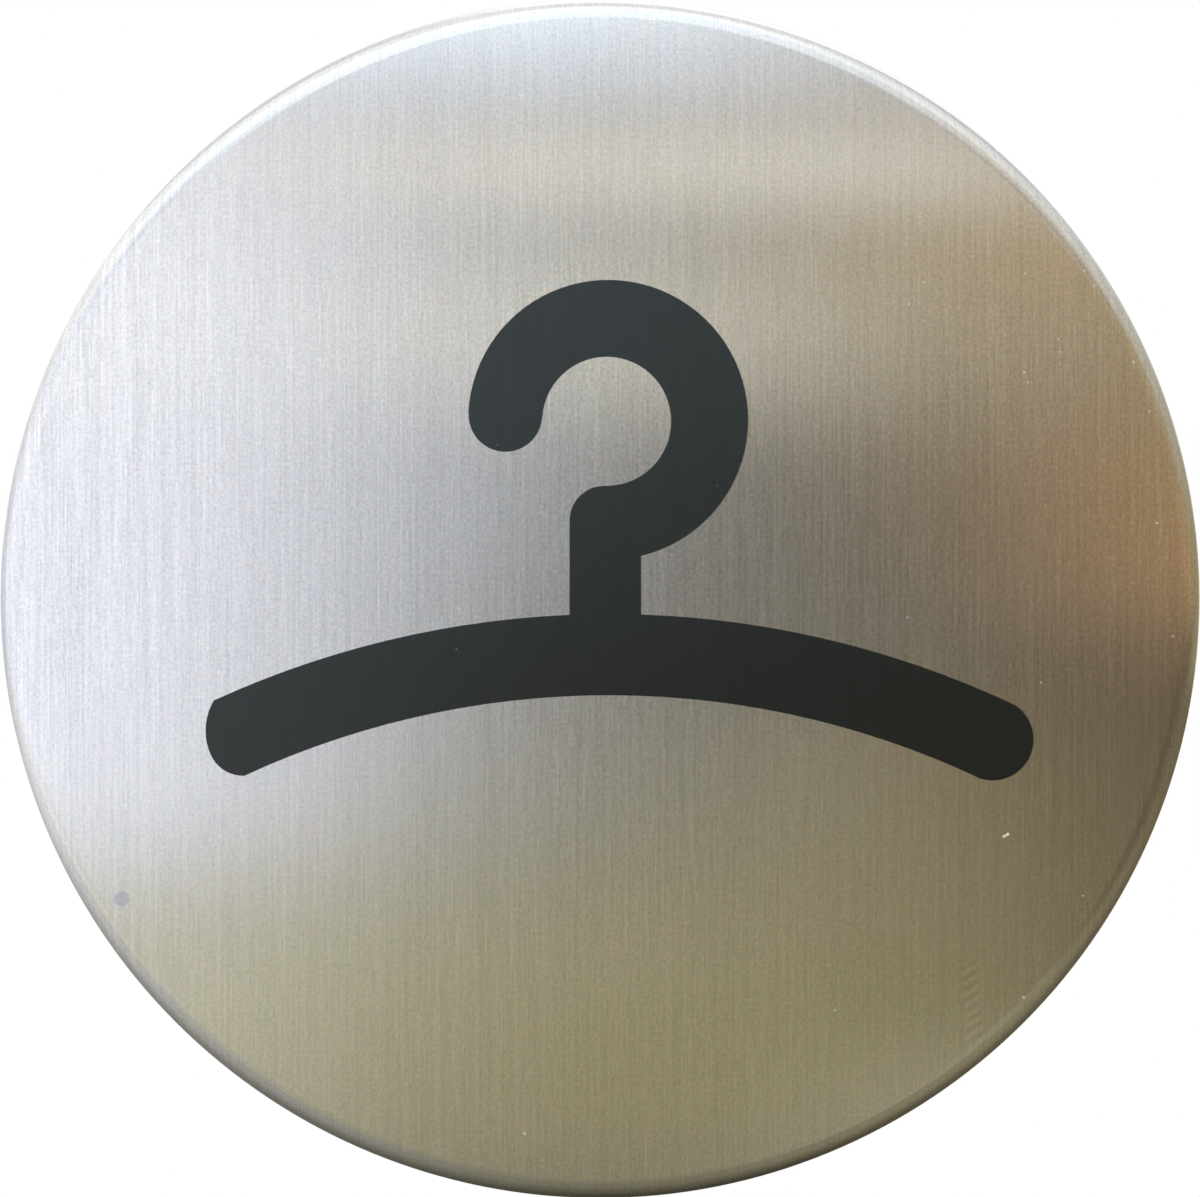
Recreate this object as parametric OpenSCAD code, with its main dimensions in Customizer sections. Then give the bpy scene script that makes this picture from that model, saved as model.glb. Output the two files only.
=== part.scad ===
// Round cloakroom door sign: a shallow pressed shell of brushed stainless steel with a
// coat hanger printed on it in black, and a self-adhesive foam pad inside its back.
// Everything is drawn lying on its back, face up, with the door's surface at z = 0.
// stand_up() then turns it to hang on a door: +Z up, the face towards -Y, the door at y = 0.

/* [Face plate] */
// Diameter of the sign over its rim
sign_d = 83; // [76:1:150]
// Thickness of the steel sheet
sheet_t = 0.6; // [0.4:0.05:0.8]
// Depth of the pressed shell, from its face to the cut edge of its rim
shell_depth = 2.6; // [2.2:0.1:6]
// Outside radius of the bend between the face and the rim
bend_r = 1.4; // [1.1:0.1:2]
// Burr taken off both corners of the rim's cut edge
edge_break = 0.1; // [0.05:0.01:0.15]

/* [Foam pad] */
// Space left round the pad, between it and the inside of the rim
pad_margin = 6.5; // [2:0.5:15]
// How far the pad stands out behind the rim, so that it meets the door first
pad_proud = 0.4; // [0.2:0.1:1]

/* [Print] */
// Thickness of the printed black layer
print_t = 0.06; // [0.05:0.01:0.12]
// How far the middle of the hook is printed to the right of the sign's centre
print_x = 0.56; // [-2:0.01:2]

/* [Hanger bar] */
// How far the middle of the bar lies to the right of the middle of the hook
bar_shift = 0.08; // [-1:0.01:1]
// Height of the middle of the bar's hump above the sign's centre
bar_z = -3.87; // [-8:0.01:2]
// Radius of the bar's curve, along its middle
bar_r = 62.6; // [55:0.1:80]
// Width of the bar
bar_w = 5.6; // [4:0.01:7]
// Angle from the middle of the bar's curve to its right end
bar_right_a = 24.95; // [20:0.05:26]
// Angle from the middle of the bar's curve to its left end
bar_left_a = 24; // [20:0.05:26]
// How much larger the radius of the right end is than half the bar's width
right_flat = 0.04; // [0.02:0.01:0.4]
// Radius of the left end above its widest point, where it is flatter
left_upper_r = 4.1; // [3.4:0.05:4.6]
// Radius of the left end below its widest point
left_lower_r = 2.45; // [2.2:0.05:2.7]
// How far the left end's widest point lies below the middle of the bar
left_drop = 0.54; // [0.2:0.01:0.8]

/* [Hanger hook] */
// Height of the straight neck between the bar and the bottom of the hook's eye
neck_h = 8.84; // [7.5:0.01:12]
// Width of the neck
neck_w = 4.92; // [4:0.01:6]
// How far the neck lies to the left of the hook's centre
neck_shift = 0.2; // [0:0.01:0.4]
// Radius of the round shoulder where the eye runs into the neck
shoulder_r = 2.4; // [1.5:0.05:2.8]
// Radius of the open eye inside the hook
eye_r = 4.45; // [3.5:0.01:6]
// Width of the hook's band, on average round the eye
hook_w = 5.2; // [4:0.01:6]
// How far the eye lies to the left of the centre of the hook's outer round
eye_shift = 0.1; // [0:0.01:0.3]
// How far the eye lies below the centre of the hook's outer round
eye_drop = 0.1; // [0:0.01:0.3]
// Direction of the hook's tip, seen from the centre of its eye
tip_a = 176.5; // [150:0.5:200]
// Radius of the hook's tip
tip_r = 2.53; // [1.8:0.01:2.54]

/* [Hidden] */
$fn = 180;

// Radii and heights of the shell
sign_r = sign_d / 2;
rim_z = pad_proud;
face_z = rim_z + shell_depth;
inside_z = face_z - sheet_t;
inside_r = sign_r - sheet_t;

// Centres of the hook and of the bar's curve
bar_top_z = bar_z + bar_w / 2;
eye_x = print_x - eye_shift;
eye_z = bar_top_z + neck_h + eye_r;
tip_reach = eye_r + (hook_w - eye_shift) / 2;
neck_x = print_x - neck_shift;
bar_x = print_x + bar_shift;
bar_centre_z = bar_z - bar_r;

steel = "silver";
ink = [0.14, 0.15, 0.15];
foam = "whitesmoke";

module stand_up() {
    rotate([90, 0, 0]) children();
}

// Section of a solid puck with a rounded upper corner: radius r, top at h, corner radius c
module puck_section(r, h, c) {
    square([r - c, h]);
    square([r, h - c]);
    translate([r - c, h - c]) circle(c);
}

// Triangle that takes the burr off one corner of the cut edge; side is 1 or -1
module burr_section(r, side) {
    translate([r, rim_z])
        polygon([[0, 0], [-side * edge_break, 0], [0, edge_break]]);
}

// Section of the pressed shell: face, bend and rim are one sheet of even thickness
module shell_section() {
    difference() {
        puck_section(sign_r, face_z, bend_r);
        puck_section(inside_r, inside_z, bend_r - sheet_t);
        square([sign_r, rim_z]);
        burr_section(sign_r, 1);
        burr_section(inside_r, -1);
    }
}

module face_plate() {
    color(steel) stand_up() rotate_extrude() shell_section();
}

// The pad fills the shell from the inside of the face to just past the rim
module foam_pad() {
    color(foam) stand_up() cylinder(r = inside_r - pad_margin, h = inside_z);
}

// Curved strip of the bar, with straight cuts at its two end angles
module bar_strip() {
    reach = bar_r + bar_w;
    intersection() {
        bar_ring();
        polygon([
            [0, 0],
            [-reach * tan(bar_left_a), reach],
            [reach * tan(bar_right_a), reach]
        ]);
    }
}

module bar_ring() {
    difference() {
        circle(bar_r + bar_w / 2);
        circle(bar_r - bar_w / 2);
    }
}

// Left end: two arcs that meet where the end is widest, the upper one flatter
module bar_left_end() {
    intersection() {
        bar_ring();
        rotate(bar_left_a) translate([0, bar_r - left_drop]) {
            circle(left_lower_r);
            intersection() {
                translate([left_upper_r - left_lower_r, 0]) circle(left_upper_r);
                translate([-left_upper_r, 0]) square(2 * left_upper_r);
            }
        }
    }
}

// Right end: one arc across the bar, a little flatter than a half circle
module bar_right_end() {
    intersection() {
        bar_ring();
        rotate(-bar_right_a) translate([0, bar_r]) circle(bar_w / 2 + right_flat);
    }
}

module bar_outline() {
    translate([bar_x, bar_centre_z]) {
        bar_strip();
        bar_left_end();
        bar_right_end();
    }
}

// Hook: a band round the eye from straight below it to the round tip on the left
module hook_outline() {
    hook_r = eye_r + hook_w;
    reach = 2 * hook_r;
    translate([eye_x, eye_z]) {
        difference() {
            translate([eye_shift, eye_drop]) circle(hook_r);
            circle(eye_r);
            polygon([
                [0, 0],
                reach * [cos(tip_a), sin(tip_a)],
                [-reach, -reach],
                [0, -reach]
            ]);
        }
        rotate(tip_a) translate([tip_reach, 0]) circle(tip_r);
    }
}

// Neck: from the middle of the bar up to the bottom of the eye, with a rounded left shoulder
module neck_outline() {
    neck_top = eye_z - eye_r;
    left = neck_x - neck_w / 2;
    translate([left, bar_z]) square([neck_w, neck_top - shoulder_r - bar_z]);
    translate([left + shoulder_r, bar_z]) square([neck_w - shoulder_r, neck_top - bar_z]);
    translate([left + shoulder_r, neck_top - shoulder_r]) circle(shoulder_r);
}

module hanger_print() {
    color(ink) stand_up() translate([0, 0, face_z]) linear_extrude(print_t) {
        bar_outline();
        neck_outline();
        hook_outline();
    }
}

face_plate();
hanger_print();
foam_pad();
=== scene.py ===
import math

import bmesh
import bpy
from bpy.props import FloatProperty, FloatVectorProperty, PointerProperty
from bpy.types import Operator, Panel, PropertyGroup
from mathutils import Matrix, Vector, noise


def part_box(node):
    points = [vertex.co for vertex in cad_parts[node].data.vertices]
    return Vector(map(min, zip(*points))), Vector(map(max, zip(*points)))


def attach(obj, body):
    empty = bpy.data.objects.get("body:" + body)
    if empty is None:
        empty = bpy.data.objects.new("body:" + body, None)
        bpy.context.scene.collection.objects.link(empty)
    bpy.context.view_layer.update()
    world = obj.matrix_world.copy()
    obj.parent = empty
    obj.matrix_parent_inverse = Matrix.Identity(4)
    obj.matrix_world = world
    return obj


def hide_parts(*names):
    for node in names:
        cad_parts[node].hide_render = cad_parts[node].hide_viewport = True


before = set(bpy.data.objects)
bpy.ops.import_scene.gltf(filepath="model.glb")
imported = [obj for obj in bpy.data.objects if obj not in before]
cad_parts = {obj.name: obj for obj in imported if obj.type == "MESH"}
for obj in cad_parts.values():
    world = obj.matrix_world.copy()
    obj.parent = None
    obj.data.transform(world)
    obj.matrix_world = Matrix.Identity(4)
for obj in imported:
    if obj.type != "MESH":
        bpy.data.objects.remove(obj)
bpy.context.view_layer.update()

bl_info = {
    "name": "Round cloakroom sign",
    "version": (1, 0, 0),
    "blender": (4, 5, 0),
    "location": "3D View > Sidebar > Sign",
    "description": "Finishes a brushed steel door sign with a printed hanger and lights it",
    "category": "Object",
}

MM = 0.001
BODY = "root"

# Width of the camera's sensor in mm, and the share of the picture's width that the rim fills
SENSOR = 36.0
PICTURE_FILL = 0.9993

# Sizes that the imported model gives, in metres. The face looks towards -Y and the door is at y = 0.
PLATE_LOW, PLATE_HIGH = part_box("face_plate")
PAD_LOW, PAD_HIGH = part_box("foam_pad")
SIGN_R = PLATE_HIGH.x
FACE_Y = PLATE_LOW.y
RIM_Y = PLATE_HIGH.y
PAD_R = PAD_HIGH.x
SHEET_T = PAD_LOW.y - FACE_Y


def flat_radius():
    """Radius of the face's flat part, where the bend to the rim begins."""
    same_height = 1e-6
    corners = (v.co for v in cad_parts["face_plate"].data.vertices)
    return max(math.hypot(c.x, c.z) for c in corners if c.y - FACE_Y < same_height)


FLAT_R = flat_radius()
BEND_R = SIGN_R - FLAT_R

# Where the steel's lines change in strength over the sign, and where the ink's colour grows lighter
# towards the top as a painted reflection: the two places in mm at which a change starts and ends, and
# the strength at each
LINES_ACROSS = (-20, -36, 0.75, 1.4)
LINES_LOW = (-12, -5, 0.72, 1.0)
LINES_HIGH = (20, 30, 1.0, 0.84)
INK_PAINTED_REFLECTION = (-6, 14, 0.7, 1.7)

# Marks on the steel and the print: across, up and radius, all in mm from the sign's centre
# Real nicks in the steel, whose glints are painted into the colour as painted highlights
NICKS_WITH_PAINTED_GLINTS = ((27.85, -16.4, 0.13), (28.0, -16.32, 0.11), (28.12, -16.25, 0.14))
FAINT_SPECKS = (
    (33.3, -20.5, 0.09),
    (33.4, 22.6, 0.12),
    (34.1, 21.6, 0.1),
    (25.7, 23.6, 0.1),
    (29.3, 22.4, 0.1),
    (21.3, 20.3, 0.1),
    (22.3, 21.8, 0.1),
    (29.25, 15.6, 0.12),
    (29.5, 14.9, 0.11),
    (31.6, 17.9, 0.1),
    (31.7, 17.0, 0.09),
    (36.8, 16.3, 0.13),
    (37.9, 12.9, 0.11),
    (38.4, 5.2, 0.12),
    (39.5, -2.6, 0.12),
    (21.2, -1.3, 0.1),
    (30.4, -5.8, 0.1),
    (-9.7, -0.7, 0.1),
    (16.2, -28.4, 0.1),
    (29.2, -27.5, 0.15),
    (-5.2, -36.9, 0.15),
)
PRINT_SPECKS = ((-9.9, -3.5, 0.1), (-7.1, 10.6, 0.08), (8.1, 7.8, 0.08))
# Painted highlight: the pale colour of the nicks' glints
NICK_PAINTED_GLINT_COLOUR = (0.95, 0.95, 0.85)
FAINT_COLOUR = (1.0, 1.0, 0.97)
PRINT_SPECK_COLOUR = (0.1, 0.08, 0.07)

# What the steel mirrors, as soft-edged cards laid over each other. Each has its name, its left,
# right, lower and upper edge, how soft its upright and its level edges are, and its light. Edges
# are in mm from the sign's centre, as the camera sees them in the face, and an edge of None is out
# of sight.
ROOM_CARDS = (
    ("window", (None, -16.0, -26.0, None), (18.0, 13.0), (1.19, 1.22, 1.34)),
    ("high_wall", (0.0, None, 43.0, None), (30.0, 10.0), (0.66, 0.58, 0.43)),
    ("upper_wall", (None, 150.0, 76.0, None), (60.0, 30.0), (1.05, 1.06, 1.02)),
    ("far_window", (None, 380.0, 200.0, None), (100.0, 80.0), (0.98, 1.0, 1.03)),
    ("high_window", (None, 55.0, 80.0, 180.0), (50.0, 22.0), (1.48, 1.48, 1.48)),
    ("top_shelf", (-15.0, 34.0, 33.5, 38.0), (14.5, 2.5), (0.74, 0.78, 0.84)),
    ("sky", (-60.0, 26.0, 38.1, 110.0), (27.0, 4.7), (1.36, 1.49, 1.65)),
    ("left_wall", (-58.0, -35.0, 34.0, 53.0), (12.0, 5.0), (0.73, 0.75, 0.8)),
    ("upper_pane", (-110.0, -29.0, 13.0, 25.5), (14.0, 5.0), (1.3, 1.31, 1.39)),
    ("table", (None, 15.0, None, -19.0), (6.5, 8.5), (0.72, 0.69, 0.52)),
    ("sill", (None, -30.0, -16.5, 0.0), (10.0, 8.0), (1.17, 1.2, 1.32)),
    ("table_shade", (None, -18.0, None, -34.5), (12.0, 9.0), (0.52, 0.495, 0.385)),
    ("low_window", (None, -59.0, -43.0, -15.0), (29.0, 12.0), (1.2, 1.22, 1.33)),
    ("doorway", (-7.8, 7.0, -23.5, 1.5), (13.5, 5.0), (0.175, 0.167, 0.112)),
    ("far_wall", (2.0, None, -10.0, 20.0), (3.5, 16.0), (0.135, 0.125, 0.08)),
    ("warm_lamp", (31.0, None, -5.0, 14.5), (2.5, 6.5), (0.455, 0.27, 0.125)),
    ("cupboard", (22.0, None, -29.0, -4.0), (2.0, 6.5), (0.11, 0.05, 0.01)),
    ("tan_wall", (13.0, None, 15.7, 36.5), (9.5, 14.5), (0.52, 0.37, 0.18)),
    ("upper_shelf", (-21.5, 33.0, 27.0, 33.0), (14.5, 3.5), (0.9, 0.855, 0.745)),
    ("lower_shelf", (-16.0, 16.5, 16.5, 21.0), (3.0, 8.5), (1.1, 1.06, 0.87)),
    ("table_top", (-20.0, None, None, -15.5), (17.5, 19.0), (0.318, 0.275, 0.13)),
    ("lit_floor", (12.0, 26.0, -25.0, -7.5), (5.0, 4.0), (0.36, 0.3, 0.165)),
    ("table_edge", (-18.0, 16.0, None, -39.0), (10.0, 5.0), (0.22, 0.2, 0.135)),
    ("far_corner", (37.0, None, -40.0, -6.0), (18.0, 10.0), (0.1, 0.07, 0.045)),
    ("near_edge", (16.0, 42.0, None, -31.0), (9.0, 5.0), (0.435, 0.4, 0.27)),
    ("far_right", (68.0, None, -70.0, -10.0), (20.0, 12.0), (0.19, 0.155, 0.095)),
    ("right_glow", (70.0, None, -6.0, 14.0), (20.0, 8.0), (0.45, 0.32, 0.17)),
)

# Light on parts of the other cards, which only the bend and the rim mirror
TOP_PATCH = (1.5, 1.5, 1.5)
LEFT_IN_FRONT = (1.17, 1.19, 1.27)
LEFT_HIGH_UP = (1.22, 1.22, 1.24)
UNDER_FAR_RIGHT = (0.23, 0.185, 0.11)
UNDER_FAR_BEHIND = (0.74, 0.74, 0.76)


class SteelSettings(PropertyGroup):
    colour: FloatVectorProperty(
        name="Steel colour",
        description="Colour of the brushed steel",
        subtype="COLOR",
        default=(0.74, 0.74, 0.735),
        min=0.0,
        max=1.0,
    )
    mill_colour: FloatVectorProperty(
        name="Mill colour",
        description="Colour of the unbrushed steel inside the shell",
        subtype="COLOR",
        default=(0.5, 0.5, 0.495),
        min=0.0,
        max=1.0,
    )
    edge_break: FloatProperty(
        name="Edge break",
        description="Burr taken off both corners of the rim's cut edge",
        default=0.1 * MM,
        min=0.05 * MM,
        max=0.15 * MM,
        precision=5,
        unit="LENGTH",
    )
    line_width: FloatProperty(
        name="Line width",
        description="Width of one brushed line",
        default=0.1 * MM,
        min=0.05 * MM,
        max=2 * MM,
        precision=5,
        unit="LENGTH",
    )
    line_length: FloatProperty(
        name="Line length",
        description="Length of the longer brushed lines",
        default=12 * MM,
        min=1 * MM,
        max=100 * MM,
        precision=4,
        unit="LENGTH",
    )
    line_contrast: FloatProperty(
        name="Line contrast",
        description="How much the brushed lines vary in brightness",
        default=1.0,
        min=0.0,
        max=2.0,
    )
    line_depth: FloatProperty(
        name="Line depth",
        description="Depth of the brushed lines in the relief",
        default=0.006 * MM,
        min=0.0,
        max=0.05 * MM,
        precision=6,
        unit="LENGTH",
    )
    roughness: FloatProperty(
        name="Roughness",
        description="Roughness of the brushed face",
        subtype="FACTOR",
        default=0.25,
        min=0.0,
        max=1.0,
    )
    anisotropy: FloatProperty(
        name="Anisotropy",
        description="How far highlights stretch across the brushed lines",
        subtype="FACTOR",
        default=0.95,
        min=0.0,
        max=1.0,
    )


class MarkSettings(PropertyGroup):
    spot_x: FloatProperty(
        name="Spot across",
        description="Place of the dull spot to the right of the sign's centre",
        default=-33.0 * MM,
        precision=4,
        unit="LENGTH",
    )
    spot_z: FloatProperty(
        name="Spot up",
        description="Place of the dull spot above the sign's centre",
        default=-20.7 * MM,
        precision=4,
        unit="LENGTH",
    )
    spot_size: FloatProperty(
        name="Spot size",
        description="Diameter of the dull spot",
        default=1.16 * MM,
        precision=5,
        unit="LENGTH",
    )
    spot_tint: FloatVectorProperty(
        name="Spot tint",
        description="What the dull spot does to the steel's colour",
        subtype="COLOR",
        default=(0.78, 0.8, 0.93),
        min=0.0,
        max=1.0,
    )
    scuff_start: FloatVectorProperty(
        name="Scuff start",
        description="Upper end of the row of scuffs, across and up",
        size=2,
        default=(25.4 * MM, -24.7 * MM),
        precision=4,
        unit="LENGTH",
    )
    scuff_end: FloatVectorProperty(
        name="Scuff end",
        description="Lower end of the row of scuffs, across and up",
        size=2,
        default=(26.0 * MM, -31.0 * MM),
        precision=4,
        unit="LENGTH",
    )


class PrintSettings(PropertyGroup):
    colour: FloatVectorProperty(
        name="Ink colour",
        description="Colour of the black ink",
        subtype="COLOR",
        default=(0.005, 0.01, 0.0115),
        min=0.0,
        max=1.0,
    )
    roughness: FloatProperty(
        name="Ink roughness",
        description="Roughness of the dried ink",
        subtype="FACTOR",
        default=0.47,
        min=0.0,
        max=1.0,
    )


class PadSettings(PropertyGroup):
    foam_colour: FloatVectorProperty(
        name="Foam colour",
        description="Colour of the closed-cell foam",
        subtype="COLOR",
        default=(0.8, 0.79, 0.76),
        min=0.0,
        max=1.0,
    )
    film_colour: FloatVectorProperty(
        name="Film colour",
        description="Colour of the adhesive films",
        subtype="COLOR",
        default=(0.78, 0.76, 0.70),
        min=0.0,
        max=1.0,
    )
    film_thickness: FloatProperty(
        name="Film thickness",
        description="Thickness of each adhesive film",
        default=0.1 * MM,
        min=0.05 * MM,
        max=0.3 * MM,
        precision=5,
        unit="LENGTH",
    )
    cell_size: FloatProperty(
        name="Cell size",
        description="Size of one cell of the foam",
        default=0.22 * MM,
        min=0.05 * MM,
        max=1 * MM,
        precision=5,
        unit="LENGTH",
    )
    edge_hollow: FloatProperty(
        name="Edge hollow",
        description="How far the die cut leaves the middle of the pad's edge hollow",
        default=0.18 * MM,
        min=0.0,
        max=0.5 * MM,
        precision=5,
        unit="LENGTH",
    )


class StudioSettings(PropertyGroup):
    lens: FloatProperty(
        name="Lens",
        description="Focal length of the camera",
        unit="CAMERA",
        default=150.0,
        min=20.0,
        max=400.0,
    )
    floor_drop: FloatProperty(
        name="Floor drop",
        description="How far the floor lies below the sign's centre",
        default=62 * MM,
        precision=4,
        unit="LENGTH",
    )
    card_distance: FloatProperty(
        name="Card distance",
        description="How far the cards that the steel mirrors stand in front of the face",
        default=50 * MM,
        precision=4,
        unit="LENGTH",
    )
    room_colour: FloatVectorProperty(
        name="Room",
        description="Light of the room where no card covers it",
        subtype="COLOR",
        default=(0.268, 0.287, 0.292),
        min=0.0,
        max=4.0,
    )
    sky_colour: FloatVectorProperty(
        name="Sky",
        description="Light that the rim mirrors from above, in front of the sign",
        subtype="COLOR",
        default=(1.35, 1.35, 1.37),
        min=0.0,
        max=4.0,
    )
    ceiling_colour: FloatVectorProperty(
        name="Ceiling",
        description="Light that the rim mirrors from above on its right",
        subtype="COLOR",
        default=(1.02, 1.02, 1.05),
        min=0.0,
        max=4.0,
    )
    left_colour: FloatVectorProperty(
        name="Left",
        description="Light that the rim mirrors on its left",
        subtype="COLOR",
        default=(0.71, 0.725, 0.83),
        min=0.0,
        max=4.0,
    )
    right_colour: FloatVectorProperty(
        name="Right",
        description="Dim light that the rim mirrors on its right",
        subtype="COLOR",
        default=(0.42, 0.355, 0.2),
        min=0.0,
        max=4.0,
    )
    high_right_colour: FloatVectorProperty(
        name="High right",
        description="Light that the rim mirrors high on its right",
        subtype="COLOR",
        default=(0.83, 0.85, 0.81),
        min=0.0,
        max=4.0,
    )
    under_colour: FloatVectorProperty(
        name="Under",
        description="Dim light that the rim mirrors from below",
        subtype="COLOR",
        default=(0.21, 0.19, 0.125),
        min=0.0,
        max=4.0,
    )
    under_left_colour: FloatVectorProperty(
        name="Under left",
        description="Bright light that the rim mirrors from far below on its left",
        subtype="COLOR",
        default=(1.12, 1.12, 1.15),
        min=0.0,
        max=4.0,
    )
    under_right_colour: FloatVectorProperty(
        name="Under right",
        description="Dim light that the rim mirrors from below on its right",
        subtype="COLOR",
        default=(0.3, 0.26, 0.165),
        min=0.0,
        max=4.0,
    )
    world_strength: FloatProperty(
        name="World",
        description="Level of the even light from all round",
        subtype="FACTOR",
        default=0.6,
        min=0.0,
        max=1.0,
    )
    lamp_power: FloatProperty(
        name="Lamp",
        description="Power of the soft lamp at the upper left",
        unit="POWER",
        default=3.0,
        min=0.0,
        max=50.0,
    )


def put(tree, kind, values=(), **settings):
    """Adds a node. values gives a value or another node's output for sockets, by name or number."""
    made = tree.nodes.new(kind)
    for key, value in settings.items():
        setattr(made, key, value)
    for key, value in dict(values).items():
        if isinstance(value, bpy.types.NodeSocket):
            tree.links.new(value, made.inputs[key])
        else:
            made.inputs[key].default_value = value
    return made


def maths(tree, operation, *values):
    """Does one operation on numbers."""
    return put(tree, "ShaderNodeMath", enumerate(values), operation=operation).outputs[0]


def vector_maths(tree, operation, *values):
    """Does one operation on vectors."""
    made = put(tree, "ShaderNodeVectorMath", enumerate(values), operation=operation)
    return made.outputs["Value" if operation in ("DISTANCE", "DOT_PRODUCT", "LENGTH") else 0]


def parts(tree, vector):
    """The X, Y and Z of a vector."""
    return put(tree, "ShaderNodeSeparateXYZ", {0: vector}).outputs


def remapped(tree, value, from_low, from_high, to_low=0.0, to_high=1.0, smooth=False):
    """Takes a value from one range to another and stops at its ends."""
    values = {0: value, 1: from_low, 2: from_high, 3: to_low, 4: to_high}
    kind = "SMOOTHSTEP" if smooth else "LINEAR"
    return put(tree, "ShaderNodeMapRange", values, interpolation_type=kind).outputs[0]


def ramp(tree, value, start, end, smooth=False):
    """0 before the place start and 1 past the place end. Both are in mm, and value is in metres."""
    return remapped(tree, value, start * MM, end * MM, smooth=smooth)


def mixed(tree, factor, first, second, way="MIX"):
    """Mixes two colours. Each is a colour or an output."""
    values = {0: factor, 6: opaque(first), 7: opaque(second)}
    return put(tree, "ShaderNodeMix", values, data_type="RGBA", blend_type=way).outputs[2]


def toned(tree, colour, tone):
    """A colour times a tone."""
    return mixed(tree, 1.0, colour, tone, way="MULTIPLY")


def bumped(tree, height, distance, strength=1.0):
    """The surface's direction over a relief of the given height."""
    values = {"Height": height, "Distance": distance, "Strength": strength}
    return put(tree, "ShaderNodeBump", values).outputs[0]


def opaque(colour):
    """A colour with full opacity, or an output as it is."""
    return colour if isinstance(colour, bpy.types.NodeSocket) else (*colour, 1.0)


def start_material(name):
    """A new material with an empty tree. Returns the material and its tree."""
    material = bpy.data.materials.new(name)
    material.use_nodes = True
    material.node_tree.nodes.clear()
    return material, material.node_tree


def finish_material(tree, kind, values):
    """Ends a material in a shader of this kind."""
    surface = put(tree, kind, values)
    put(tree, "ShaderNodeOutputMaterial", {"Surface": surface.outputs[0]})


def place_mm(tree):
    """Place on the sign, in mm."""
    at = put(tree, "ShaderNodeTexCoord").outputs["Object"]
    return vector_maths(tree, "MULTIPLY", at, (1 / MM, 1 / MM, 1 / MM))


def grain(tree, at, width, length, seed, detail=2.0):
    """Noise drawn out along the sheet's lines, about zero. at and the sizes are in mm."""
    stretched = vector_maths(tree, "MULTIPLY", at, (1 / width, 1 / length, 1.0))
    moved = vector_maths(tree, "ADD", stretched, (seed, 2 * seed, seed))
    values = {"Vector": moved, "Scale": 1.0, "Detail": detail, "Roughness": 0.55}
    return maths(tree, "SUBTRACT", put(tree, "ShaderNodeTexNoise", values).outputs[0], 0.5)


def strokes(tree, sheet, width, length, seed):
    """Straight strokes of even tone along the sheet's second direction, about zero.

    The sheet falls into lines of the given width, and each line into strokes of the given length.
    """
    most_shift = 53
    along = parts(tree, sheet)
    line = maths(tree, "FLOOR", maths(tree, "MULTIPLY_ADD", along["X"], 1 / width, seed))
    start = put(tree, "ShaderNodeTexWhiteNoise", {"W": line}, noise_dimensions="1D").outputs[0]
    shift = maths(tree, "MULTIPLY", start, most_shift)
    run = maths(tree, "MULTIPLY_ADD", along["Y"], 1 / length, shift)
    cell = put(tree, "ShaderNodeCombineXYZ", {0: line, 1: maths(tree, "FLOOR", run)}).outputs[0]
    tone = put(tree, "ShaderNodeTexWhiteNoise", {"Vector": cell}, noise_dimensions="2D").outputs[0]
    return maths(tree, "SUBTRACT", tone, 0.5)


def weighted(tree, *pairs, start=0.0):
    """Sum of start and values, each times its weight."""
    total = start
    for value, weight in pairs:
        total = maths(tree, "MULTIPLY_ADD", value, weight, total)
    return total


def specks(tree, at, places):
    """Mask of small soft dots at places, which are across, up and radius in mm."""
    mask = 0.0
    flat = vector_maths(tree, "MULTIPLY", at, (1, 0, 1))
    for across, up, radius in places:
        gap = vector_maths(tree, "DISTANCE", flat, (across, 0, up))
        mask = maths(tree, "MAXIMUM", mask, remapped(tree, gap, radius, 0.4 * radius))
    return mask


def scuffs(tree, at, start, end):
    """Row of short strokes that rise to the right, from start down to end, as a value about zero."""
    spacing, half_width, slant, unevenness = 0.72, 0.8, 0.5, 0.5
    start, end = (Vector((p[0], 0, p[1])) / MM for p in (start, end))
    down = (end - start).normalized()
    right = Vector((-down.z, 0, down.x))
    from_start = vector_maths(tree, "SUBTRACT", at, start)
    run = vector_maths(tree, "DOT_PRODUCT", from_start, down)
    side = vector_maths(tree, "DOT_PRODUCT", from_start, right)
    uneven = maths(tree, "MULTIPLY", grain(tree, at, 1.6, 1.6, 7.0), unevenness)
    turns = maths(tree, "ADD", maths(tree, "MULTIPLY_ADD", side, slant, run), uneven)
    wave = maths(tree, "SINE", maths(tree, "MULTIPLY", turns, math.tau / spacing))
    half = (end - start).length / 2
    from_middle = maths(tree, "ABSOLUTE", maths(tree, "SUBTRACT", run, half))
    inside = remapped(tree, from_middle, half, 0.75 * half)
    narrow = remapped(tree, maths(tree, "ABSOLUTE", side), half_width, 0.4 * half_width)
    return maths(tree, "MULTIPLY", wave, maths(tree, "MULTIPLY", inside, narrow))


def tinted(tree, sheet, width):
    """Faint warm and cool tints of the brushed lines, as a colour about white."""
    tints = []
    for seed in (61.7, 73.1):
        patches = grain(tree, sheet, 3 * width, 5 * width, seed)
        drawn = grain(tree, sheet, 3 * width, 60 * width, seed + 5)
        tints.append(weighted(tree, (patches, 0.16), (drawn, 0.09), start=1.0))
    warm, cool = tints
    return put(tree, "ShaderNodeCombineColor", {"Red": warm, "Green": 1.0, "Blue": cool}).outputs[0]


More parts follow.
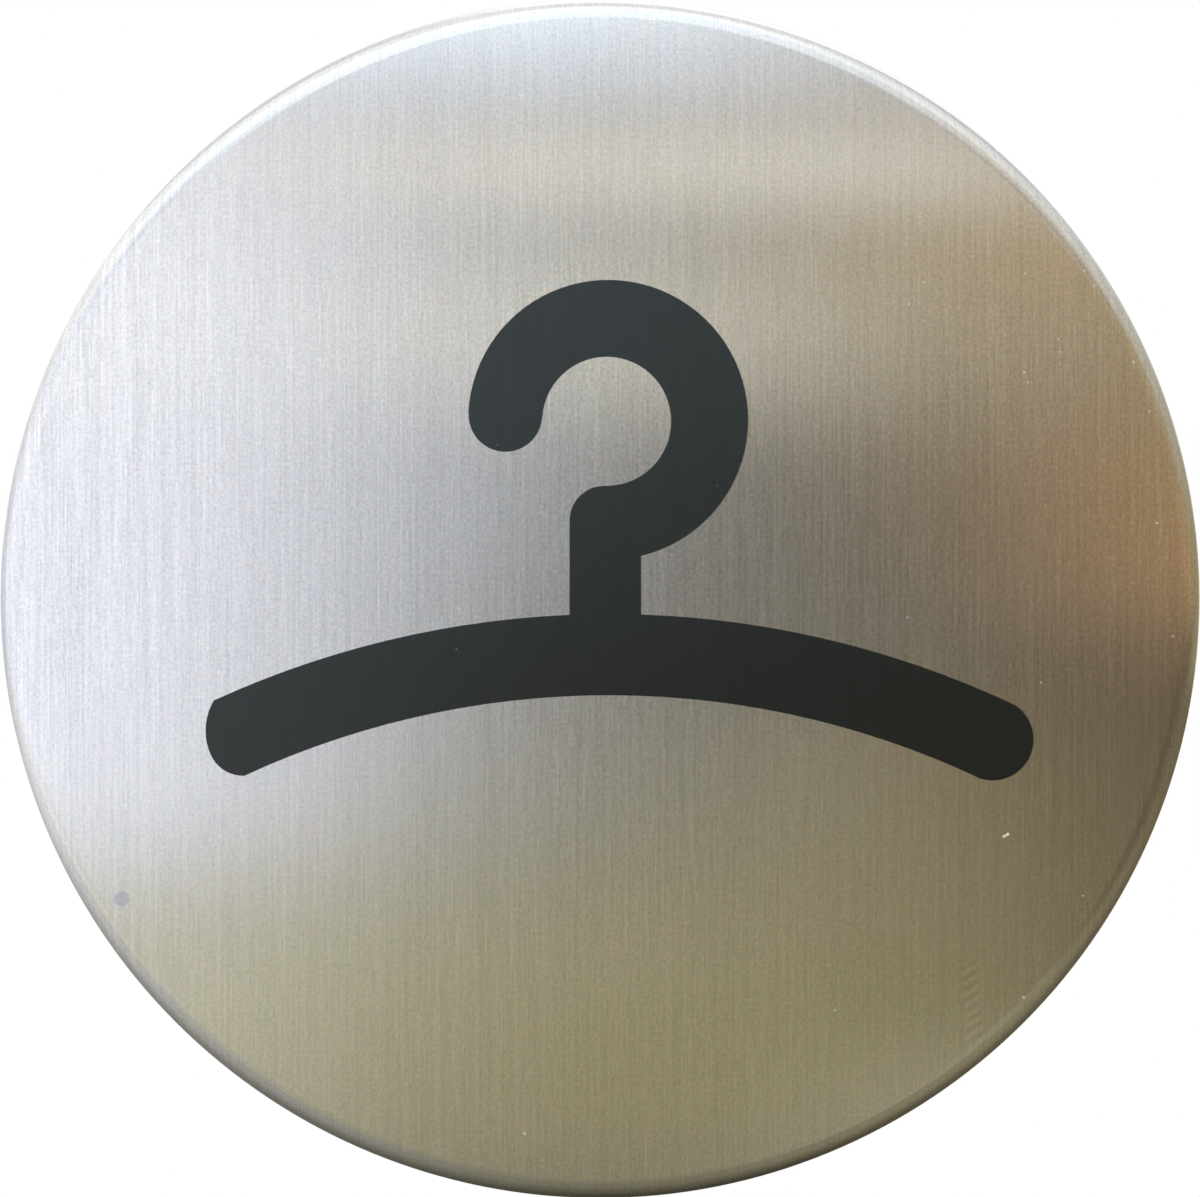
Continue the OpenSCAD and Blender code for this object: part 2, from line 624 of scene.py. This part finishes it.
def brushed_steel(steel, marks):
    """Stainless steel brushed in vertical lines, with its scuffs, specks and dull spot, and nicks whose
    glints are painted in as a pale colour.
    """
    material, tree = start_material("brushed_steel")
    at = place_mm(tree)
    blank = put(tree, "ShaderNodeUVMap", uv_map="blank").outputs[0]
    width, length = steel.line_width / MM, steel.line_length / MM
    short = strokes(tree, blank, width, length / 12, 3)
    long = strokes(tree, blank, 1.3 * width, length, 11)
    bright = remapped(tree, strokes(tree, blank, 0.9 * width, length / 4, 29), 0.36, 0.5)
    broad = grain(tree, blank, 20 * width, 4 * length, 23.3, detail=3.0)
    fine = grain(tree, blank, 2 * width, 2.4 * width, 41.9)
    ridges = grain(tree, blank, 3 * width, 1.5 * length, 17.3, detail=3.0)
    streaks = weighted(tree, (short, 0.09), (long, 0.12), (bright, 0.1), (broad, 0.12))
    place = parts(tree, at)
    streaks = maths(tree, "MULTIPLY", streaks, remapped(tree, place["X"], *LINES_ACROSS))
    lines = maths(tree, "MULTIPLY_ADD", fine, 0.5, streaks)
    lines = maths(tree, "MULTIPLY", lines, remapped(tree, place["Z"], *LINES_LOW))
    lines = maths(tree, "MULTIPLY", lines, remapped(tree, place["Z"], *LINES_HIGH))
    scuffed = scuffs(tree, at, marks.scuff_start, marks.scuff_end)
    shade = maths(tree, "MULTIPLY_ADD", lines, steel.line_contrast, 1.0)
    shade = maths(tree, "MULTIPLY_ADD", scuffed, 0.08, shade)
    colour = toned(tree, toned(tree, steel.colour, shade), tinted(tree, blank, width))
    middle = (marks.spot_x / MM, FACE_Y / MM, marks.spot_z / MM)
    away = vector_maths(tree, "DISTANCE", at, middle)
    spot_r = marks.spot_size / MM / 2
    spot = remapped(tree, away, spot_r, 0.8 * spot_r, smooth=True)
    colour = mixed(tree, spot, colour, marks.spot_tint, way="MULTIPLY")
    faint = specks(tree, at, FAINT_SPECKS)
    colour = mixed(tree, maths(tree, "MULTIPLY", faint, 0.6), colour, FAINT_COLOUR)
    # Painted highlight: the nicks get a pale, hardly metallic colour that stands in for their glints
    nicks_and_glints = specks(tree, at, NICKS_WITH_PAINTED_GLINTS)
    relief = weighted(tree, (ridges, 1.0), (scuffed, 0.04))
    values = {
        "Base Color": mixed(tree, nicks_and_glints, colour, NICK_PAINTED_GLINT_COLOUR),
        "Metallic": weighted(tree, (nicks_and_glints, -0.7), (faint, -0.3), start=1.0),
        "Roughness": maths(tree, "MULTIPLY_ADD", streaks, 0.12, steel.roughness),
        "Anisotropic": steel.anisotropy,
        "Tangent": put(tree, "ShaderNodeTangent", direction_type="UV_MAP", uv_map="blank").outputs[0],
        "Normal": bumped(tree, relief, steel.line_depth),
    }
    finish_material(tree, "ShaderNodeBsdfPrincipled", values)
    return material


def mill_steel(steel):
    """Unbrushed rolled steel inside the shell."""
    material, tree = start_material("mill_steel")
    blank = put(tree, "ShaderNodeUVMap", uv_map="blank").outputs[0]
    rolled = grain(tree, blank, 0.4, 6.0, 5.3)
    cloudy = grain(tree, blank, 9.0, 11.0, 9.1, detail=4.0)
    pitted = grain(tree, blank, 0.12, 0.12, 2.7)
    tone = weighted(tree, (rolled, 0.3), (cloudy, 0.25), (pitted, 0.2), start=1.0)
    values = {
        "Base Color": toned(tree, steel.mill_colour, tone),
        "Metallic": 1.0,
        "Roughness": maths(tree, "MULTIPLY_ADD", cloudy, 0.25, 0.42),
        "Normal": bumped(tree, pitted, 0.01 * MM),
    }
    finish_material(tree, "ShaderNodeBsdfPrincipled", values)
    return material


def cut_steel(steel):
    """Sheared edge of the sheet, bright and finely torn."""
    material, tree = start_material("cut_steel")
    torn = grain(tree, place_mm(tree), 0.12, 0.5, 6.4)
    tone = maths(tree, "MULTIPLY_ADD", torn, 0.5, 1.0)
    values = {
        "Base Color": toned(tree, steel.colour, tone),
        "Metallic": 1.0,
        "Roughness": maths(tree, "MULTIPLY_ADD", torn, 0.3, 0.38),
        "Normal": bumped(tree, torn, 0.03 * MM),
    }
    finish_material(tree, "ShaderNodeBsdfPrincipled", values)
    return material


def black_ink(ink, steel):
    """Satin black screen ink that faintly follows the brushed lines under it, with a painted reflection
    that lightens its colour towards the top.
    """
    material, tree = start_material("black_ink")
    at = place_mm(tree)
    place = parts(tree, at)
    sheet = put(tree, "ShaderNodeCombineXYZ", {0: place["X"], 1: place["Z"]}).outputs[0]
    width, length = steel.line_width / MM, steel.line_length / MM
    long = strokes(tree, sheet, 1.3 * width, length, 11)
    ridges = grain(tree, sheet, 3 * width, 1.5 * length, 17.3, detail=3.0)
    fine = grain(tree, sheet, 1.3 * width, 1.6 * width, 17.9)
    tone = weighted(tree, (long, 0.3), (fine, 1.2), start=1.0)
    # Painted reflection: the ink's colour grows lighter towards the top, as if it mirrored the bright
    # light above the sign
    tone = maths(tree, "MULTIPLY", tone, remapped(tree, place["Z"], *INK_PAINTED_REFLECTION))
    relief = weighted(tree, (ridges, 0.3), (fine, 0.3))
    dots = specks(tree, at, PRINT_SPECKS)
    values = {
        "Base Color": mixed(tree, dots, toned(tree, ink.colour, tone), PRINT_SPECK_COLOUR),
        "Roughness": maths(tree, "MULTIPLY_ADD", fine, 0.15, ink.roughness),
        "IOR": 1.58,
        "Normal": bumped(tree, relief, 0.003 * MM),
    }
    finish_material(tree, "ShaderNodeBsdfPrincipled", values)
    return material


def closed_foam(pad):
    """White closed-cell foam, cut through its cells."""
    material, tree = start_material("closed_foam")
    at = place_mm(tree)
    values = {"Vector": at, "Scale": MM / pad.cell_size}
    cells = put(tree, "ShaderNodeTexVoronoi", values, feature="SMOOTH_F1").outputs["Distance"]
    mottle = grain(tree, at, 2.0, 2.0, 4.4)
    tone = weighted(tree, (cells, -0.35), (mottle, 0.1), start=1.12)
    values = {
        "Base Color": toned(tree, pad.foam_colour, tone),
        "Roughness": maths(tree, "MULTIPLY_ADD", mottle, 0.2, 0.8),
        "Normal": bumped(tree, cells, -0.1 * MM, 0.8),
    }
    finish_material(tree, "ShaderNodeBsdfPrincipled", values)
    return material


def adhesive_film(pad):
    """Tacky acrylic film, which shows the foam's cells as fine dimples."""
    material, tree = start_material("adhesive_film")
    at = place_mm(tree)
    values = {"Vector": at, "Scale": MM / pad.cell_size / 3}
    dimples = put(tree, "ShaderNodeTexVoronoi", values).outputs["Distance"]
    waves = grain(tree, at, 6.0, 6.0, 8.8, detail=3.0)
    tone = weighted(tree, (dimples, -0.08), (waves, 0.12), start=1.02)
    relief = weighted(tree, (dimples, 0.5), (waves, 1.0))
    values = {
        "Base Color": toned(tree, pad.film_colour, tone),
        "Roughness": maths(tree, "MULTIPLY_ADD", waves, 0.3, 0.28),
        "Normal": bumped(tree, relief, 0.05 * MM, 0.7),
    }
    finish_material(tree, "ShaderNodeBsdfPrincipled", values)
    return material


def lathe(name, section, materials, turns=256, sharp=math.radians(35)):
    """Turns a section about the Y axis and makes a piece of it.

    Each point of the section has its radius, its y and the number of the material between it and
    the next point. The first and last points are on the axis. The map named blank unrolls the
    section: it gives each point's place on the flat sheet before it was pressed, in mm.
    """
    made = bmesh.new()
    angles = [math.tau * i / turns for i in range(turns)]
    rings, runs, run = [], [], 0.0
    for i, (radius, y, _) in enumerate(section):
        if i:
            run += math.hypot(radius - section[i - 1][0], y - section[i - 1][1])
        runs.append(run)
        if radius:
            round_points = [(radius * math.cos(a), y, radius * math.sin(a)) for a in angles]
            rings.append([made.verts.new(point) for point in round_points])
        else:
            rings.append([made.verts.new((0, y, 0))] * turns)
    widest = max(radius for radius, _, _ in section)
    half = max(runs[i] for i, (radius, _, _) in enumerate(section) if radius == widest)
    flat = made.loops.layers.uv.new("blank")
    for i, (_, _, slot) in enumerate(section[:-1]):
        inner = runs[i] > half
        for j in range(turns):
            around = ((i, j), (i, j + 1), (i + 1, j + 1), (i + 1, j))
            # On the axis two corners are one vertex, so the face is a triangle
            corners = {rings[ring][step % turns]: (ring, step) for ring, step in around}
            face = made.faces.new(corners)
            face.smooth = True
            face.material_index = slot
            for loop, (ring, step) in zip(face.loops, corners.values()):
                reach = (runs[-1] - runs[ring] if inner else runs[ring]) / MM
                angle = math.tau * step / turns
                loop[flat].uv = (reach * math.cos(angle), reach * math.sin(angle))
    bmesh.ops.recalc_face_normals(made, faces=made.faces)
    mesh = bpy.data.meshes.new(name)
    made.to_mesh(mesh)
    made.free()
    mesh.set_sharp_from_angle(angle=sharp)
    for material in materials:
        mesh.materials.append(material)
    piece = bpy.data.objects.new(name, mesh)
    bpy.context.scene.collection.objects.link(piece)
    return piece


def shell_section(edge_break):
    """Section of the shell, from the middle of its face round the rim to the middle inside."""
    brushed, mill, cut = 0, 1, 2
    steps = 14
    # The ring near the middle keeps the innermost triangles short, and the one beside the bend
    # keeps the flat part's shading flat
    middle_ring, last_ring = FLAT_R / 4, FLAT_R - 0.05 * MM
    inside_y = FACE_Y + SHEET_T
    inside_r = SIGN_R - SHEET_T
    bend_y = FACE_Y + BEND_R
    inside_bend = BEND_R - SHEET_T
    angles = [math.pi / 2 * i / steps for i in range(steps + 1)]
    section = [(radius, FACE_Y, brushed) for radius in (0.0, middle_ring, last_ring)]
    section += [(FLAT_R + BEND_R * math.sin(a), bend_y - BEND_R * math.cos(a), brushed) for a in angles]
    section += [(SIGN_R, RIM_Y - edge_break, cut), (SIGN_R - edge_break, RIM_Y, cut)]
    section += [(inside_r + edge_break, RIM_Y, cut), (inside_r, RIM_Y - edge_break, mill)]
    section += [
        (FLAT_R + inside_bend * math.sin(a), bend_y - inside_bend * math.cos(a), mill)
        for a in reversed(angles)
    ]
    section += [(radius, inside_y, mill) for radius in (last_ring, middle_ring, 0.0)]
    return section


def dress(piece, slot, *nodes):
    """Puts a piece on the body in place of the solids it replaces. The slot is not used."""
    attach(piece, BODY)
    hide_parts(*nodes)


class SIGN_OT_face_plate(Operator):
    """Make the pressed shell of brushed steel"""

    bl_idname = "sign.face_plate"
    bl_label = "Face plate"
    bl_options = {"REGISTER", "UNDO"}

    def execute(self, context):
        steel, marks = context.scene.sign_steel, context.scene.sign_marks
        materials = (brushed_steel(steel, marks), mill_steel(steel), cut_steel(steel))
        shell = lathe("brushed_shell", shell_section(steel.edge_break), materials)
        dress(shell, "brushed_steel", "face_plate")
        return {"FINISHED"}


class SIGN_OT_hanger_print(Operator):
    """Give the printed hanger its satin black ink"""

    bl_idname = "sign.hanger_print"
    bl_label = "Hanger print"
    bl_options = {"REGISTER", "UNDO"}

    def execute(self, context):
        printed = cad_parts["hanger_print"]
        printed.data.materials[0] = black_ink(context.scene.sign_print, context.scene.sign_steel)
        return {"FINISHED"}


class SIGN_OT_foam_pad(Operator):
    """Make the foam pad with its two adhesive films"""

    bl_idname = "sign.foam_pad"
    bl_label = "Foam pad"
    bl_options = {"REGISTER", "UNDO"}

    def execute(self, context):
        pad = context.scene.sign_pad
        foam, film = closed_foam(pad), adhesive_film(pad)
        front, back, film_t = PAD_LOW.y, PAD_HIGH.y, pad.film_thickness
        self.film("pad_film_plate_side", front, front + film_t, film)
        self.film("pad_film_door_side", back - film_t, back, film)
        self.core(pad, front + film_t, back - film_t, foam)
        return {"FINISHED"}

    def film(self, name, front, back, film):
        """One adhesive film, cut just inside the foam's edge."""
        inset = 0.04 * MM
        reach = PAD_R - inset
        section = [(0.0, front, 0), (reach, front, 0), (reach, back, 0), (0.0, back, 0)]
        dress(lathe(name, section, [film]), "pad_foam", "foam_pad")

    def core(self, pad, front, back, foam):
        """The foam, with the hollow edge that a die cut leaves."""
        steps, ragged_mm = 10, 0.05
        middle = (front + back) / 2
        section = [(0.0, front, 0)]
        for i in range(steps + 1):
            y = front + (back - front) * i / steps
            hollow = 1 - ((y - middle) / (back - middle)) ** 2
            section.append((PAD_R - pad.edge_hollow * hollow, y, 0))
        section.append((0.0, back, 0))
        core = lathe("pad_core", section, [foam])
        for vertex in core.data.vertices:
            out = Vector((vertex.co.x, 0, vertex.co.z))
            if out.length > PAD_R / 2 and front < vertex.co.y < back:
                bite = noise.noise(vertex.co / pad.cell_size) - 1
                vertex.co += out.normalized() * ragged_mm * MM * bite
        dress(core, "pad_foam", "foam_pad")


class SIGN_OT_studio(Operator):
    """Set up the floor, the mirrored cards, the lamp, the world and the camera"""

    bl_idname = "sign.studio"
    bl_label = "Studio"
    bl_options = {"REGISTER", "UNDO"}

    def execute(self, context):
        studio = context.scene.sign_studio
        context.scene.view_settings.view_transform = "Standard"
        self.world(context, studio)
        self.floor(studio)
        self.cards(studio)
        self.lamp(studio)
        self.camera(context, studio)
        return {"FINISHED"}

    def world(self, context, studio):
        """White to the camera and in mirrors, and an even soft light on everything else."""
        world = bpy.data.worlds.new("studio")
        context.scene.world = world
        world.use_nodes = True
        tree = world.node_tree
        tree.nodes.clear()
        seen = background_rays(tree)
        level = remapped(tree, seen, 0.0, 1.0, studio.world_strength, 1.0)
        light = put(tree, "ShaderNodeBackground", {"Color": (1, 1, 1, 1), "Strength": level})
        put(tree, "ShaderNodeOutputWorld", {"Surface": light.outputs[0]})

    def floor(self, studio):
        """A pale floor that fades all round into the white background."""
        material, tree = start_material("pale_floor")
        at = put(tree, "ShaderNodeNewGeometry").outputs["Position"]
        level = vector_maths(tree, "MULTIPLY", at, (1, 1, 0))
        away = vector_maths(tree, "LENGTH", level)
        fade = ramp(tree, away, 60, 150, smooth=True)
        white = put(tree, "ShaderNodeEmission", {"Color": (1, 1, 1, 1), "Strength": 1.0})
        pale = put(tree, "ShaderNodeBsdfDiffuse", {"Color": (0.86, 0.86, 0.85, 1), "Roughness": 0.5})
        share = maths(tree, "MULTIPLY", fade, background_rays(tree))
        values = {0: share, 1: pale.outputs[0], 2: white.outputs[0]}
        finish_material(tree, "ShaderNodeMixShader", values)
        far = 1000 * MM
        across_and_back = ((-far, -far), (far, -far), (far, far), (-far, far))
        corners = [(across, back, -studio.floor_drop) for across, back in across_and_back]
        quads("floor", [corners], [material])

    def cards(self, studio):
        """Cards all round but behind, seen only as the steel and the ink mirror them."""
        reach, back = 450 * MM, 600 * MM
        front, floor = FACE_Y - studio.card_distance, 1 * MM - studio.floor_drop
        across_and_up = ((-reach, floor), (reach, floor), (reach, reach), (-reach, reach))
        edges = [Vector((across, front, up)) for across, up in across_and_up]
        away = Vector((0, back - front, 0))
        walls = [edges]
        for start, end in zip(edges, edges[1:] + edges[:1]):
            walls.append((start, end, end + away, start + away))
        lights = (
            self.room_card(studio),
            self.under_card(studio),
            self.right_card(studio, reach),
            self.top_card(studio),
            self.left_card(studio, front, reach),
        )
        made = quads("mirrored_cards", walls, lights)
        for kind in ("camera", "diffuse", "transmission", "shadow", "volume_scatter"):
            setattr(made, "visible_" + kind, False)

    def start_card(self, name):
        """A new card's material, its tree and the place on it."""
        material, tree = start_material(name)
        material.cycles.emission_sampling = "NONE"
        return material, tree, put(tree, "ShaderNodeNewGeometry").outputs["Position"]

    def shine(self, tree, light):
        """Ends a card's material in this light."""
        finish_material(tree, "ShaderNodeEmission", {"Color": light})

    def room_card(self, studio):
        """The room in front of the sign, with its window, table, walls and shelves."""
        material, tree, at = self.start_card("room_card")
        shrink = 1 / MM / (1 + studio.card_distance / camera_distance(studio))
        place = parts(tree, vector_maths(tree, "MULTIPLY", at, (shrink, shrink, shrink)))
        light = studio.room_colour
        for name, (left, right, low, high), (across, up), colour in ROOM_CARDS:
            inside = 1.0
            for value, edge, soft in (
                (place["X"], left, across),
                (place["X"], right, -across),
                (place["Z"], low, up),
                (place["Z"], high, -up),
            ):
                if edge is not None:
                    step = remapped(tree, value, edge - soft, edge + soft, smooth=True)
                    inside = maths(tree, "MULTIPLY", inside, step)
            light = mixed(tree, inside, light, colour)
            light.node.label = name
        self.shine(tree, light)
        return material

    def top_card(self, studio):
        """Bright on the left, paler behind the sign, and white far behind its middle."""
        material, tree, at = self.start_card("top_card")
        across, depth, _ = parts(tree, at)
        to_right = ramp(tree, across, -220, -20)
        light = mixed(tree, to_right, studio.sky_colour, studio.ceiling_colour)
        paler = remapped(tree, depth, 10 * MM, 190 * MM, 1.0, 0.62, smooth=True)
        slanted = maths(tree, "MULTIPLY_ADD", depth, -0.45, across)
        left = ramp(tree, across, -150, -60, smooth=True)
        right = ramp(tree, slanted, 150, 90, smooth=True)
        behind = ramp(tree, depth, 65, 110, smooth=True)
        patch = maths(tree, "MULTIPLY", behind, maths(tree, "MULTIPLY", left, right))
        self.shine(tree, mixed(tree, patch, toned(tree, light, paler), TOP_PATCH))
        return material

    def left_card(self, studio, front, reach):
        """Brighter in front and high up."""
        material, tree, at = self.start_card("left_card")
        _, depth, up = parts(tree, at)
        behind = remapped(tree, depth, front, 65 * MM)
        light = mixed(tree, behind, LEFT_IN_FRONT, studio.left_colour)
        high = remapped(tree, up, 0.0, 0.62 * reach)
        self.shine(tree, mixed(tree, high, light, LEFT_HIGH_UP))
        return material

    def right_card(self, studio, reach):
        """Dim low down and bright high up."""
        material, tree, at = self.start_card("right_card")
        _, depth, up = parts(tree, at)
        high = remapped(tree, up, -30 * MM, reach, smooth=True)
        light = mixed(tree, high, studio.right_colour, studio.high_right_colour)
        fuller = remapped(tree, depth, -50 * MM, 120 * MM, 0.75, 0.91)
        self.shine(tree, toned(tree, light, fuller))
        return material

    def under_card(self, studio):
        """Bright on the left and dim on the right, with the shade that the sign itself throws."""
        material, tree, at = self.start_card("under_card")
        across, depth, _ = parts(tree, at)
        to_right = ramp(tree, across, 5, 35)
        light = mixed(tree, to_right, studio.under_colour, studio.under_right_colour)
        light = mixed(tree, ramp(tree, across, 50, 110), light, UNDER_FAR_RIGHT)
        left = mixed(tree, ramp(tree, depth, 20, 260), studio.under_left_colour, UNDER_FAR_BEHIND)
        light = mixed(tree, ramp(tree, across, -5, -175), light, left)
        off_middle = maths(tree, "ABSOLUTE", maths(tree, "SUBTRACT", across, 15 * MM))
        shadow = remapped(tree, off_middle, 0.0, 130 * MM, 0.72, 0.15)
        under_sign = ramp(tree, depth, -20, 8)
        shade = maths(tree, "SUBTRACT", 1.0, maths(tree, "MULTIPLY", shadow, under_sign))
        self.shine(tree, toned(tree, light, shade))
        return material

    def lamp(self, studio):
        """A soft lamp at the upper left, in front of the sign."""
        light = bpy.data.lights.new("soft_lamp", "AREA")
        light.size = 0.35
        light.energy = studio.lamp_power
        lamp = bpy.data.objects.new("soft_lamp", light)
        lamp.location = (-0.35, -0.5, 0.45)
        lamp.rotation_euler = (-lamp.location).to_track_quat("-Z", "Y").to_euler()
        bpy.context.scene.collection.objects.link(lamp)
        lamp.visible_camera = lamp.visible_glossy = False

    def camera(self, context, studio):
        """Face on, with the rim filling the picture's width."""
        lens = bpy.data.cameras.new("camera")
        lens.lens = studio.lens
        lens.sensor_width = SENSOR
        lens.clip_start = 0.01
        camera = bpy.data.objects.new("camera", lens)
        camera.location = (0, FACE_Y - camera_distance(studio), 0)
        camera.rotation_euler = (math.pi / 2, 0, 0)
        context.scene.collection.objects.link(camera)
        context.scene.camera = camera


def camera_distance(studio):
    """Distance from the face at which the rim just fills the picture's width."""
    slope = math.atan(PICTURE_FILL * SENSOR / 2 / studio.lens)
    return (BEND_R + FLAT_R * math.cos(slope)) / math.sin(slope) - BEND_R


def background_rays(tree):
    """1 for rays from the camera and for those that mirrors and glass send on, and 0 for the rest."""
    path = put(tree, "ShaderNodeLightPath").outputs
    mirrored = maths(tree, "MAXIMUM", path["Is Glossy Ray"], path["Is Transmission Ray"])
    return maths(tree, "MAXIMUM", path["Is Camera Ray"], mirrored)


def quads(name, corners, materials):
    """A stage object of flat rectangles, each with its own material."""
    mesh = bpy.data.meshes.new(name)
    points = [point for quad in corners for point in quad]
    faces = [tuple(range(4 * i, 4 * i + 4)) for i in range(len(corners))]
    mesh.from_pydata(points, [], faces)
    for i, material in enumerate(materials):
        mesh.materials.append(material)
        mesh.polygons[i].material_index = i
    made = bpy.data.objects.new(name, mesh)
    bpy.context.scene.collection.objects.link(made)
    return made


class VIEW3D_PT_sign(Panel):
    """Sizes, colours and steps of the sign"""

    bl_idname = "VIEW3D_PT_sign"
    bl_label = "Cloakroom sign"
    bl_space_type = "VIEW_3D"
    bl_region_type = "UI"
    bl_category = "Sign"

    def draw(self, context):
        for title, step, name, kind in STEPS:
            box = self.layout.box()
            box.label(text=title)
            settings = getattr(context.scene, name)
            for setting in kind.__annotations__:
                box.prop(settings, setting)
            if step:
                box.operator(step)


STEPS = (
    ("Steel", "sign.face_plate", "sign_steel", SteelSettings),
    ("Marks", "", "sign_marks", MarkSettings),
    ("Print", "sign.hanger_print", "sign_print", PrintSettings),
    ("Foam pad", "sign.foam_pad", "sign_pad", PadSettings),
    ("Studio", "sign.studio", "sign_studio", StudioSettings),
)
OPERATORS = (SIGN_OT_face_plate, SIGN_OT_hanger_print, SIGN_OT_foam_pad, SIGN_OT_studio)


def register():
    for _, _, name, kind in STEPS:
        bpy.utils.register_class(kind)
        setattr(bpy.types.Scene, name, PointerProperty(type=kind))
    for kind in (*OPERATORS, VIEW3D_PT_sign):
        bpy.utils.register_class(kind)


def unregister():
    for kind in (VIEW3D_PT_sign, *reversed(OPERATORS)):
        bpy.utils.unregister_class(kind)
    for _, _, name, kind in reversed(STEPS):
        delattr(bpy.types.Scene, name)
        bpy.utils.unregister_class(kind)


def main():
    """Makes the stage and every piece."""
    register()
    bpy.ops.sign.studio()
    bpy.ops.sign.face_plate()
    bpy.ops.sign.hanger_print()
    bpy.ops.sign.foam_pad()


if __name__ == "__main__":
    main()
